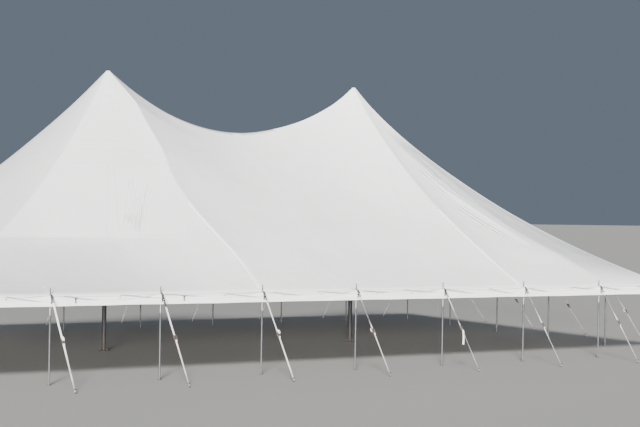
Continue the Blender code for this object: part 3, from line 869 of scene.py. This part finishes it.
# The border of a half's sloping cloth, walked in even steps between the lines that reach it.
stops = [(-LACE_REACH, 0, 44), (-LACE_REACH, -SIDE_REACH, 24), (-WEB, -SIDE_REACH, 28),
         (WEB, -SIDE_REACH, 52), (END_REACH, -SIDE_REACH, 52), (END_REACH, -WEB, 28),
         (END_REACH, WEB, 52), (END_REACH, SIDE_REACH, 52), (WEB, SIDE_REACH, 28),
         (-WEB, SIDE_REACH, 24), (-LACE_REACH, SIDE_REACH, 44)]
walk = np.concatenate([
    at(x + (next_x - x) * np.arange(steps) / steps, y + (next_y - y) * np.arange(steps) / steps)
    for (x, y, steps), (next_x, next_y, _) in zip(stops, stops[1:] + stops[:1])
])
reach = np.hypot(walk[:, 0], walk[:, 1])
share = np.linspace(0, 1, 98) ** 1.12
radius = np.concatenate([[0.012 + 0 * reach, 0.03 + 0 * reach], TIP + (reach - TIP) * share[:, None]])
out, across = radius * walk[:, 0] / reach, radius * walk[:, 1] / reach
slope_place = np.concatenate([[0, 0.05], 0.1 + 9.9 * share])[:, None]
cloth_uv = at(run_along(np.append(walk, walk[:1], axis=0)), slope_place)
cloth_depth = np.where(slope_place < 0.1, 0.0095, CLOTH)


def drag_folds(finish, degrees, over, along, apart):
    """Thin folds side by side, as a sine over the place across them, cut off softly round a patch.

    The folds run this way in plan, and over and along are the ranges across and along them, in metres.
    """
    point = finish.node("ShaderNodeVectorRotate", {"rotation_type": "Z_AXIS"},
                        {"Vector": finish.place(), "Angle": np.radians(-degrees)})
    bent = finish.noise(0.9, 2.0) * 0.16 + finish.noise(2.6, 1.0) * 0.07
    x, y = finish.axis("X", point), finish.axis("Y", point) + bent
    wave = (y * (2 * np.pi / apart)).maths("SINE") + (y * (3.9 * np.pi / apart)).maths("SINE") * 0.6
    patch = 1.0
    for place, (low, high), soft in ((y - 0.08, over, 0.15), (x, along, 0.9)):
        patch = place.between(low, low + soft) * (1 - place.between(high - soft, high)) * patch
    return wave * patch * finish.noise(1.3, 2.0).between(0.32, 0.62) * 1.15


def vinyl(name, clean, soiled, streak, gloss, folds=(), slot=None):
    """Coated vinyl: broad clouding, grey rain streaks down the UV map's second axis, darker towards the eave,
    soft crinkles and a fine woven scrim under the coat. The roof also has patches of drag folds, a blue-grey
    band of painted shade beside the right half's front hip and a low front panel on the left half painted
    greyer as shade. The valances have painted shade along their folds, varied by grime noise."""
    finish = Finish(name, specular=0.4, slot=slot)
    x, y, z = (finish.axis(letter) for letter in "XYZ")
    cloud = finish.noise(0.33, 4.0).between(0.35, 0.75)
    rain = finish.noise(1.0, 5.0, 0.6, (2.6, 0.22, 1), "UV").between(0.5, 0.8)
    grime = finish.noise(5.0, 6.0, 0.7)
    # Darker towards the eave: most at the eave, none above 3.9 m or below 2.2 m.
    splash = (1 - z.between(EAVE, 3.9)) * z.between(2.2, EAVE)
    amount = cloud * 0.25 + rain * streak + grime.between(0.5, 0.8) * 0.08
    height = finish.noise(1.3, 3.0, 0.45) + finish.noise(420.0, 1.0) * 0.01
    for fold_set in folds:
        height = height + drag_folds(finish, *fold_set) * 0.6
    tone = finish.blend(clean, (amount + splash * 0.3, soiled))
    if name == "valance_vinyl":
        # Painted shade in the valance folds, read from the mesh attribute and varied by grime.
        painted_crease_shade = finish.node("ShaderNodeAttribute", {"attribute_name": "crease_shade"}, out="Fac")
        tone = finish.blend(tone, (painted_crease_shade * (grime * 0.4 + 0.6), (0.13, 0.13, 0.14)))
    if folds:
        round_place, down = (finish.axis(letter, finish.place("UV")) for letter in "XY")
        # Painted shade: a blue-grey band beside the right half's front hip, varied by grime noise.
        hip_shade_band = (x * 0.809 + y * 0.588).between(3.3, 3.6) * (1 - round_place.between(19.4, 19.62))
        hip_shade_band = hip_shade_band * down.between(1.2, 2.4) * (1 - down.between(8.4, 10))
        # Painted shade: the left half's low front panel, below 3.7 m, is blended towards grey.
        low_panel_shade = (1 - z.between(3.66, 3.74)) * (1 - x.between(-8.5, -3.4)) * (1 - y.between(-5.6, -2.8))
        tone = finish.blend(tone, (hip_shade_band * (grime * 0.4 + 0.55), (0.38, 0.385, 0.40)),
                            (low_panel_shade * (grime * 0.3 + 0.35), (0.50, 0.50, 0.52)))
    finish.paint(tone, grime * 0.2 + gloss, None, height, 0.018)
    return finish


# The drag folds that the photograph shows beside the right half's front hip and on the left half's front.
DRAG_FOLDS = [(-61.4, (3.6, 4.5), (4.2, 6.8), 0.18), (-54.0, (2.45, 3.1), (6.4, 9.0), 0.19),
              (-119.4, (-3.0, -2.2), (4.8, 7.8), 0.13)]
roof_vinyl = vinyl("roof_vinyl", (0.84, 0.84, 0.835), (0.68, 0.68, 0.67), 0.12, 0.38, DRAG_FOLDS)
for side, half in HALVES:
    top = on_roof(side, out, across)
    shape = thick_sheet(top, top - at(0, 0, cloth_depth), cloth_uv, joined_ends=True)
    add_piece("cloth_" + half, shape, roof_vinyl, [half + "_top"], sharp=70)


# Seams and webbing of the tops.
# Panels of vinyl are welded edge over edge in rows that run round each peak. Sewn webbing runs down every
# hip and web line and under each pole's pin, and a doubled round patch reinforces the peak.
def band(side, path, width, lift, piece=0.1):
    """A flat band that follows the roof: the path is cut into even pieces, and on each the section's
    points lie across it at the roof's height plus the lift, with edges that dip into the cloth. A band
    with a negative lift lies under the cloth."""
    path = np.array(path, float)
    run = run_along(path)
    place = np.unique(np.concatenate([np.linspace(0, run[-1], int(run[-1] / piece) + 2), run]))
    middle, ahead, behind = (
        at(*(np.interp(np.clip(place + step, 0, run[-1]), run, path[:, k]) for k in (0, 1)))
        for step in (0, 0.02, -0.02))
    direction = unit(ahead - behind)
    sideways = at(-direction[:, 1], direction[:, 0])
    section = np.array([(-1, 0), (-0.93, 1), (-0.5, 1), (0, 1), (0.5, 1), (0.93, 1), (1, 0),
                        (0.5, -0.6), (0, -0.6), (-0.5, -0.6)])
    plan = middle[:, None] + sideways[:, None] * section[None, :, :1] * width / 2
    rings = on_roof(side, plan[..., 0], plan[..., 1], section[:, 1] * lift - CLOTH * (lift < 0))
    return lofted(rings, across=section[:, 0] * width / 2, along=place)


def level_path(side, height, start, end, mirror=-1, steps=24):
    """The plan path of a level seam between two ratios of out to across: on the ray of each ratio, the
    place of this height is found by halving."""
    ratio = np.linspace(start, end, steps)
    low, high = 0 * ratio + 0.2, 0 * ratio + SIDE_REACH
    for _ in range(30):
        middle = (low + high) / 2
        above = roof_height(side, ratio * middle, mirror * middle) > height
        low, high = np.where(above, middle, low), np.where(above, high, middle)
    return at(ratio * low, mirror * low)


# The ends of the webs and the hips, and the share of their length at which their webbing starts.
LINES = [(WEB, -SIDE_REACH, 0.09), (-WEB, -SIDE_REACH, 0.09), (END_REACH, -WEB, 0.09), (END_REACH, WEB, 0.09),
         (WEB, SIDE_REACH, 0.09), (-WEB, SIDE_REACH, 0.09), (END_REACH, -SIDE_REACH, 0.07),
         (END_REACH, SIDE_REACH, 0.07)]
# Level seams of each half's front and back: the height, and the ratios of out to across at both ends.
LEVEL_SEAMS = {-1: [(6.50, 0.96, 0.0), (6.20, 0.97, -0.36), (5.80, 0.97, -0.32), (3.72, 0.98, 0.02)],
               1: [(5.50, -1.0, 0.0), (3.42, 0.2, 0.6)]}
PATCH = 0.66

taped = Finish("sewn_webbing", roughness=0.55, specular=0.4, slot="roof_vinyl")
from_edge = abs(taped.axis("X", taped.place("UV")))
stitch_row = (from_edge > 0.0205) * (from_edge < 0.0225)
grime = taped.noise(6.0, 6.0, 0.7)
soiled = grime.between(0.45, 0.8) * 0.4 + stitch_row * 0.25
tone = taped.blend((0.92, 0.92, 0.915), (soiled, (0.74, 0.74, 0.72)))
relief = taped.wave("Y", 40.0) * stitch_row + taped.noise(500.0, 1.0, kind="UV") * 0.3
taped.paint(tone, grime * 0.2 + 0.42, None, relief, 0.0008)

weld = vinyl("welded_seam", (0.78, 0.78, 0.775), (0.62, 0.62, 0.61), 0.12, 0.36, slot="roof_vinyl")
peak_cap = turned([(0.044, 8.846), (0.046, 8.850), (0.038, 8.860), (0.018, 8.872), (0.004, 8.878)], sides=28)

for side, half in HALVES:
    seams = [band(side, level_path(side, *seam, mirror), 0.045, 0.005)
             for seam in LEVEL_SEAMS[side] for mirror in (-1, 1)]
    if side < 0:
        for ratio in (0.40, 0.33):
            ends = [level_path(side, z, ratio, ratio, -1, 1)[0] for z in (5.79, 3.73)]
            seams.append(band(side, ends, 0.045, 0.005))
    seams = add_piece("seams_" + half, joined(seams), weld, sharp=50)
    straps = [band(side, [(x * top, y * top), (x * 0.993, y * 0.993)], 0.05, -0.004, 0.12)
              for x, y, top in LINES]
    down = np.linspace(0.57, 0.985, 20)
    straps += [band(side, at(crease_line(side, down), mirror * SIDE_REACH * down), 0.12, 0.007, 0.12)
               for mirror in (-1, 1)]
    for x, y in poles_in_plan[side]:
        on_end = x > END_REACH
        inward = np.array([-0.42 if on_end else 0.0, 0.0 if on_end and abs(y) < 7 else -0.42 * np.sign(y)])
        edge = np.array([min(x, END_REACH - 0.03), np.clip(y, 0.03 - SIDE_REACH, SIDE_REACH - 0.03)])
        if abs(x + LACE_REACH) > 0.1:
            straps.append(band(side, [edge, edge + inward], 0.05, -0.006, 0.06))
    straps = add_piece("webbing_" + half, joined(straps), taped, sharp=50)
    ray = around(96)
    patch_radius = np.append(np.linspace(0.013, PATCH - 0.01, 14), PATCH)[:, None]
    patch_lift = np.where(patch_radius > PATCH - 0.005, 0.0005, 0.0035)
    patch = on_roof(side, patch_radius * np.cos(ray), patch_radius * np.sin(ray), patch_lift)
    patch_uv = at(np.append(ray, 2 * np.pi), patch_radius)
    patch = thick_sheet(patch, patch - at(0, 0, patch_lift + 0.002), patch_uv, joined_ends=True)
    patch = add_piece("peak_patch_" + half, patch, roof_vinyl, sharp=50)
    add_piece("peak_cap_" + half, moved(peak_cap, (side * PEAK_X, 0, 0)), fitting)

# Hem.
# A doubled hem of vinyl and webbing with a rope in its edge runs round three sides of each half. A washer
# lies round the eyelet over each pole.
HALF_LENGTH, HALF_WIDTH = 12.192, 7.62
HEM_UNDER, HEM_THICK, HEM_IN = 2.2702, 0.0098, -0.085
MIDDLE_GAP = 0.0005
# The hem's section: the place outside the line of the poles, and the height as a share of the thickness.
hem_section = np.array([
    (HEM_IN, 0.0), (HEM_IN + 0.004, 1.0), (-0.06, 1.0), (-0.02, 1.0), (0.02, 1.0), (0.045, 1.0),
    (0.050, 1.25), (0.056, 1.2), (0.060, 0.75), (0.060, 0.25), (0.056, -0.1), (0.050, -0.15),
    (0.02, 0.0), (-0.02, 0.0), (-0.06, 0.0)])
side_runs = np.linspace(0, 1, 90)
hem_points = np.concatenate([
    at(MIDDLE_GAP + side_runs * (HALF_LENGTH - MIDDLE_GAP), -HALF_WIDTH),
    at(HALF_LENGTH, HALF_WIDTH * (2 * side_runs - 1))[1:],
    at(HALF_LENGTH - side_runs * (HALF_LENGTH - MIDDLE_GAP), HALF_WIDTH)[1:],
])
hem_x, hem_y = hem_points.T
hem_normal = at(np.isclose(hem_x, HALF_LENGTH), np.sign(hem_y) * np.isclose(np.abs(hem_y), HALF_WIDTH))
plan = hem_points[:, None] + hem_normal[:, None] * hem_section[None, :, :1]
washer = ring(0.0295, flat_bar(0.0024, 0.033, 6), 24)
for side, half in HALVES:
    cloth_edge = roof_height(side, plan[..., 0] - PEAK_X, plan[..., 1])
    height = np.where(hem_section[:, 0] < -0.06, cloth_edge + 0.002 - 0.006 * (hem_section[:, 1] < 0.5),
                      HEM_UNDER + HEM_THICK * hem_section[:, 1])
    rings = at(side * plan[..., 0], plan[..., 1], height)
    hem = lofted(rings, across=hem_section[:, 0] + 0.0125, along=run_along(hem_points))
    hem = add_piece("hem_" + half, hem, taped, sharp=60)
    washers = []
    for _, (x, y), _ in side_poles:
        if side * x > 0.01 or abs(x) < 0.01 and side < 0:
            washers += [moved(washer, (x, y, 2.2808)), moved(washer, (x, y, 2.2695))]
    add_piece("eyelet_washers_" + half, joined(washers), fitting)

# Valances.
# A short straight skirt of the same vinyl hangs from the hem on three sides of each half, in one strip for
# each side. Between the poles it hangs in shallow swags, and its foot is turned up and sewn.
VALANCE_DROP = 0.2695
valance_vinyl = vinyl("valance_vinyl", (0.88, 0.88, 0.87), (0.66, 0.66, 0.63), 0.25, 0.36)
valance_rng = np.random.default_rng(91)


def groove(gap, above, below):
    """A groove exp(-(gap / width) squared), with one width above its line and another below."""
    return np.exp(-(gap / np.where(gap < 0, above, below)) ** 2)


def skirt(length, pole_marks, slant, step):
    """How far each point of a strip stands out, on columns this step apart.

    Each bay has swags whose sag is 4 t (1 - t), and two drag lines that fall across it one way. All are
    grooves, sharp above and broad below, with painted shade on the sharp side. Small pleats lie under the
    poles, and a slow wave grows towards the foot, which is thicker where it is turned up.
    """
    place = np.linspace(0, length, int(length / step))
    foot = VALANCE_DROP - np.array([0.025, 0.022, 0.012, 0.003, 0.0])
    depth = np.concatenate([[0, 0.005], np.linspace(0.010, VALANCE_DROP - 0.028, 32), foot])[:, None]
    bay = np.clip(np.searchsorted(pole_marks, place, side="right") - 1, 0, len(pole_marks) - 2)
    t = (place - pole_marks[bay]) / (pole_marks[bay + 1] - pole_marks[bay])
    stand = 0.0 * depth * place
    # Painted shade for each point, darkest on the sharp side of the grooves.
    crease_shade = 0.0 * stand
    for k in range(4):
        lean = valance_rng.uniform(0.8, 1.3, len(pole_marks))[bay]
        drop = valance_rng.uniform(0.75, 1.25, len(pole_marks))[bay]
        strength = valance_rng.uniform(0.55, 1.15, len(pole_marks))[bay]
        bent = t ** lean
        sag = 0.012 + (0.035 + 0.055 * k) * drop * 4 * bent * (1 - bent)
        shown = strength * np.exp(-((sag - 0.02) / 0.16) ** 2) * bounded(12 * t * (1 - t))
        stand = stand - 0.016 * shown * groove(depth - sag, 0.012, 0.030)
        crease_shade = np.maximum(crease_shade, 0.4 * shown * groove(depth - sag + 0.006, 0.011, 0.011))
    for start, reach, top in ((0.03, 0.42, 0.015), (0.52, 0.44, 0.010)):
        begin = start + valance_rng.uniform(-0.03, 0.08, len(pole_marks))[bay]
        span = reach * valance_rng.uniform(0.75, 1.1, len(pole_marks))[bay]
        drop = valance_rng.uniform(0.08, 0.18, len(pole_marks))[bay]
        run = ((t if slant > 0 else 1 - t) - begin) / span
        gap = depth - top - drop * (1 - bounded(1 - run) ** 1.5)
        shown = bounded(run * 8) * bounded((1 - run) * 3)
        stand = stand - 0.040 * shown * groove(gap, 0.015, 0.050)
        crease_shade = np.maximum(crease_shade, shown * groove(gap + 0.008, 0.016, 0.016))
    pleat = np.minimum(t, 1 - t) * BAY
    pleats = np.exp(-(pleat / 0.12) ** 2) * np.cos(pleat * 70) * np.exp(-((depth - 0.08) / 0.08) ** 2)
    wave = np.sin(place * 2.1 + valance_rng.uniform(0, 6))
    wave = wave + 0.6 * np.sin(place * 5.3 + valance_rng.uniform(0, 6))
    stand = 0.004 + stand * bounded(depth / 0.02) + 0.006 * pleats
    stand = stand + 0.006 * (1 + wave) * (depth / VALANCE_DROP) ** 1.5
    turned_up = depth > VALANCE_DROP - 0.0235
    return place, depth, stand + 0.0012 * turned_up, 0.0018 + 0.0014 * turned_up, crease_shade


SIDE_STRIP, END_STRIP, STRIP_OUT = 12.2517, 15.352, 7.676
side_marks = np.linspace(0, HALF_LENGTH, 5)
end_marks = np.concatenate([[0], np.linspace(0.056, 15.296, 6), [END_STRIP]])
for side, half in HALVES:
    strips = [("front", SIDE_STRIP, side_marks, (MIDDLE_GAP, -STRIP_OUT), (1, 0), (0, -1), 0.05),
              ("back", SIDE_STRIP, side_marks, (MIDDLE_GAP, STRIP_OUT), (1, 0), (0, 1), 0.1),
              ("end", END_STRIP, end_marks, (12.2475, -STRIP_OUT), (0, 1), (1, 0), 0.075)]
    for where, length, marks, start, way, away, step in strips:
        place, depth, stand, thickness, crease_shade = skirt(length, marks, side, step)
        sway = 0.003 * np.sin(place * 1.3 + side) + 0.0025 * np.sin(place * 3.9)
        level = 2.2697 - depth + sway * (depth / VALANCE_DROP) ** 3
        outer = np.array(start) + place[:, None] * np.array(way) + stand[..., None] * np.array(away)
        inner = outer - thickness[..., None] * np.array(away)
        faces = [at(side * plan[..., 0], plan[..., 1], level) for plan in (outer, inner)]
        shape = thick_sheet(*faces, at(place, depth))
        strip = add_piece(f"valance_{where}_{half}", shape, valance_vinyl, [half + "_valance"],
                          sharp=60, crease_shade=np.tile(crease_shade.ravel(), 2))

# Lace line.
# Where the halves meet, eyelets along both edges are laced with rope underneath, and a flap sewn to one
# half covers the joint from eave to eave.
FLAP_HALF = 0.13
flap_y = np.concatenate([[-7.60], np.linspace(-7.56, 7.56, 177), [7.60]])
flap_x = (np.linspace(-1, 1, 9) * FLAP_HALF)[:, None]
from_middle = np.abs(flap_x) / FLAP_HALF
over_x, over_y = flap_x + 0 * flap_y, np.clip(flap_y, -7.555, 7.555) + 0 * flap_x
left_height = roof_height(-1, -over_x - PEAK_X, over_y)
right_height = roof_height(1, over_x - PEAK_X, over_y)
flap_height = np.where(flap_x < 0, left_height, right_height)
flap_height = np.where(flap_x == 0, np.maximum(left_height, right_height), flap_height)
bulge = 0.0015 + 0.002 * (1 - from_middle ** 2) + 0.0008 * np.sin(flap_y * 9.0) * from_middle
flap_top = at(flap_x, flap_y, flap_height + bulge)
flap = thick_sheet(flap_top, flap_top - np.array([0, 0, 0.004]), at(flap_y * 0.3, flap_x))
flap = add_piece("lace_flap", flap, roof_vinyl, sharp=70)

rope = Finish("lace_rope", roughness=0.85, specular=0.2)
strand, fuzz = rope.wave("DIAGONAL", 60.0), rope.noise(120.0, 3.0)
tone = rope.blend((0.36, 0.33, 0.27), (strand * 0.7 + fuzz * 0.3, (0.66, 0.63, 0.54)))
rope.paint(tone, None, None, strand + fuzz * 0.4, 0.0015)

LACE_STEP, LACE_OUT, LACE_END, LACE_TURNS = 0.22, 0.055, 7.26, 66
lace_angle = np.linspace(0, 2 * np.pi * LACE_TURNS, LACE_TURNS * 12 + 1)
lace_x = LACE_OUT * np.sin(lace_angle)
lace_y = LACE_STEP * lace_angle / (2 * np.pi) - LACE_END + 0.03 * np.sin(2 * lace_angle)
lace_z = roof_height(1, np.abs(lace_x) - PEAK_X, lace_y) - 0.016 - 0.006 * np.cos(lace_angle) ** 2
lacing = swept(at(lace_x, lace_y, lace_z), (0, 0, 1), bar(0.004, 6))
add_piece("lacing", lacing, rope, sharp=80)

eyelet = ring(0.0105, flat_bar(0.0022, 0.009, 4), 10)
eyelets = []
for y in np.arange(-LACE_END + LACE_STEP / 4, LACE_END, LACE_STEP / 2):
    for side in (-1, 1):
        z = roof_height(side, np.array(LACE_OUT - PEAK_X), np.array(y))
        eyelets.append(moved(eyelet, (side * LACE_OUT, y, float(z) - 0.0055)))
add_piece("lace_eyelets", joined(eyelets), fitting)

# Side rings.
# Two small steel rings on webbing tabs hang from the eave in each bay, for a side wall. A dark toggle with a
# snap ring was left on four of the left half's.
tab = swept([(0.067, 0, 2.262), (0.079, 0, 2.250), (0.081, 0, 2.225), (0.081, 0, 2.206)], (0, 1, 0),
            flat_bar(0.024, 0.002, 8))
small_ring = wire_loop(0.017, 0.015, bar(0.0028, 6), 14, (0.083, 0, 2.198))
snap_strap = [(0.092, 0, 2.205), (0.093, 0, 2.170), (0.092, 0.002, 2.130)]
snap = joined([
    plate(bar(0.011, 10), -0.052, 0.052, (0.092, 0, 2.205)),
    swept(snap_strap, (0, 1, 0), flat_bar(0.018, 0.012, 10)),
    wire_loop(0.018, 0.028, bar(0.006, 8), 24, (0.092, 0.004, 2.104)),
])
# The bays with a toggle, by the angle of their side: the second and third from the left end.
TOGGLED = {-90: (1, 2), 90: (5, 6)}
tabs, rings_and_snaps = [], []
for angle, half_side, reach_out in ((-90, HALF_LENGTH, HALF_WIDTH), (90, HALF_LENGTH, HALF_WIDTH),
                                    (0, HALF_WIDTH, HALF_LENGTH), (180, HALF_WIDTH, HALF_LENGTH)):
    axes = facing(angle)
    for bay in range(round(2 * half_side / BAY)):
        for share in (0.21, 0.61):
            place = axes[0] * reach_out + axes[1] * ((bay + share) * BAY - half_side)
            tabs.append(moved(tab, place, axes))
            rings_and_snaps.append(moved(small_ring, place, axes))
            if share < 0.5 and bay in TOGGLED.get(angle, ()):
                rings_and_snaps.append(moved(snap, place, axes))
add_piece("side_tabs", joined(tabs), taped, sharp=60)
add_piece("side_rings", joined(rings_and_snaps), fitting)

size = {"cad": [list(corner) for corner in cad_box], "visual": [list(corner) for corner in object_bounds()]}
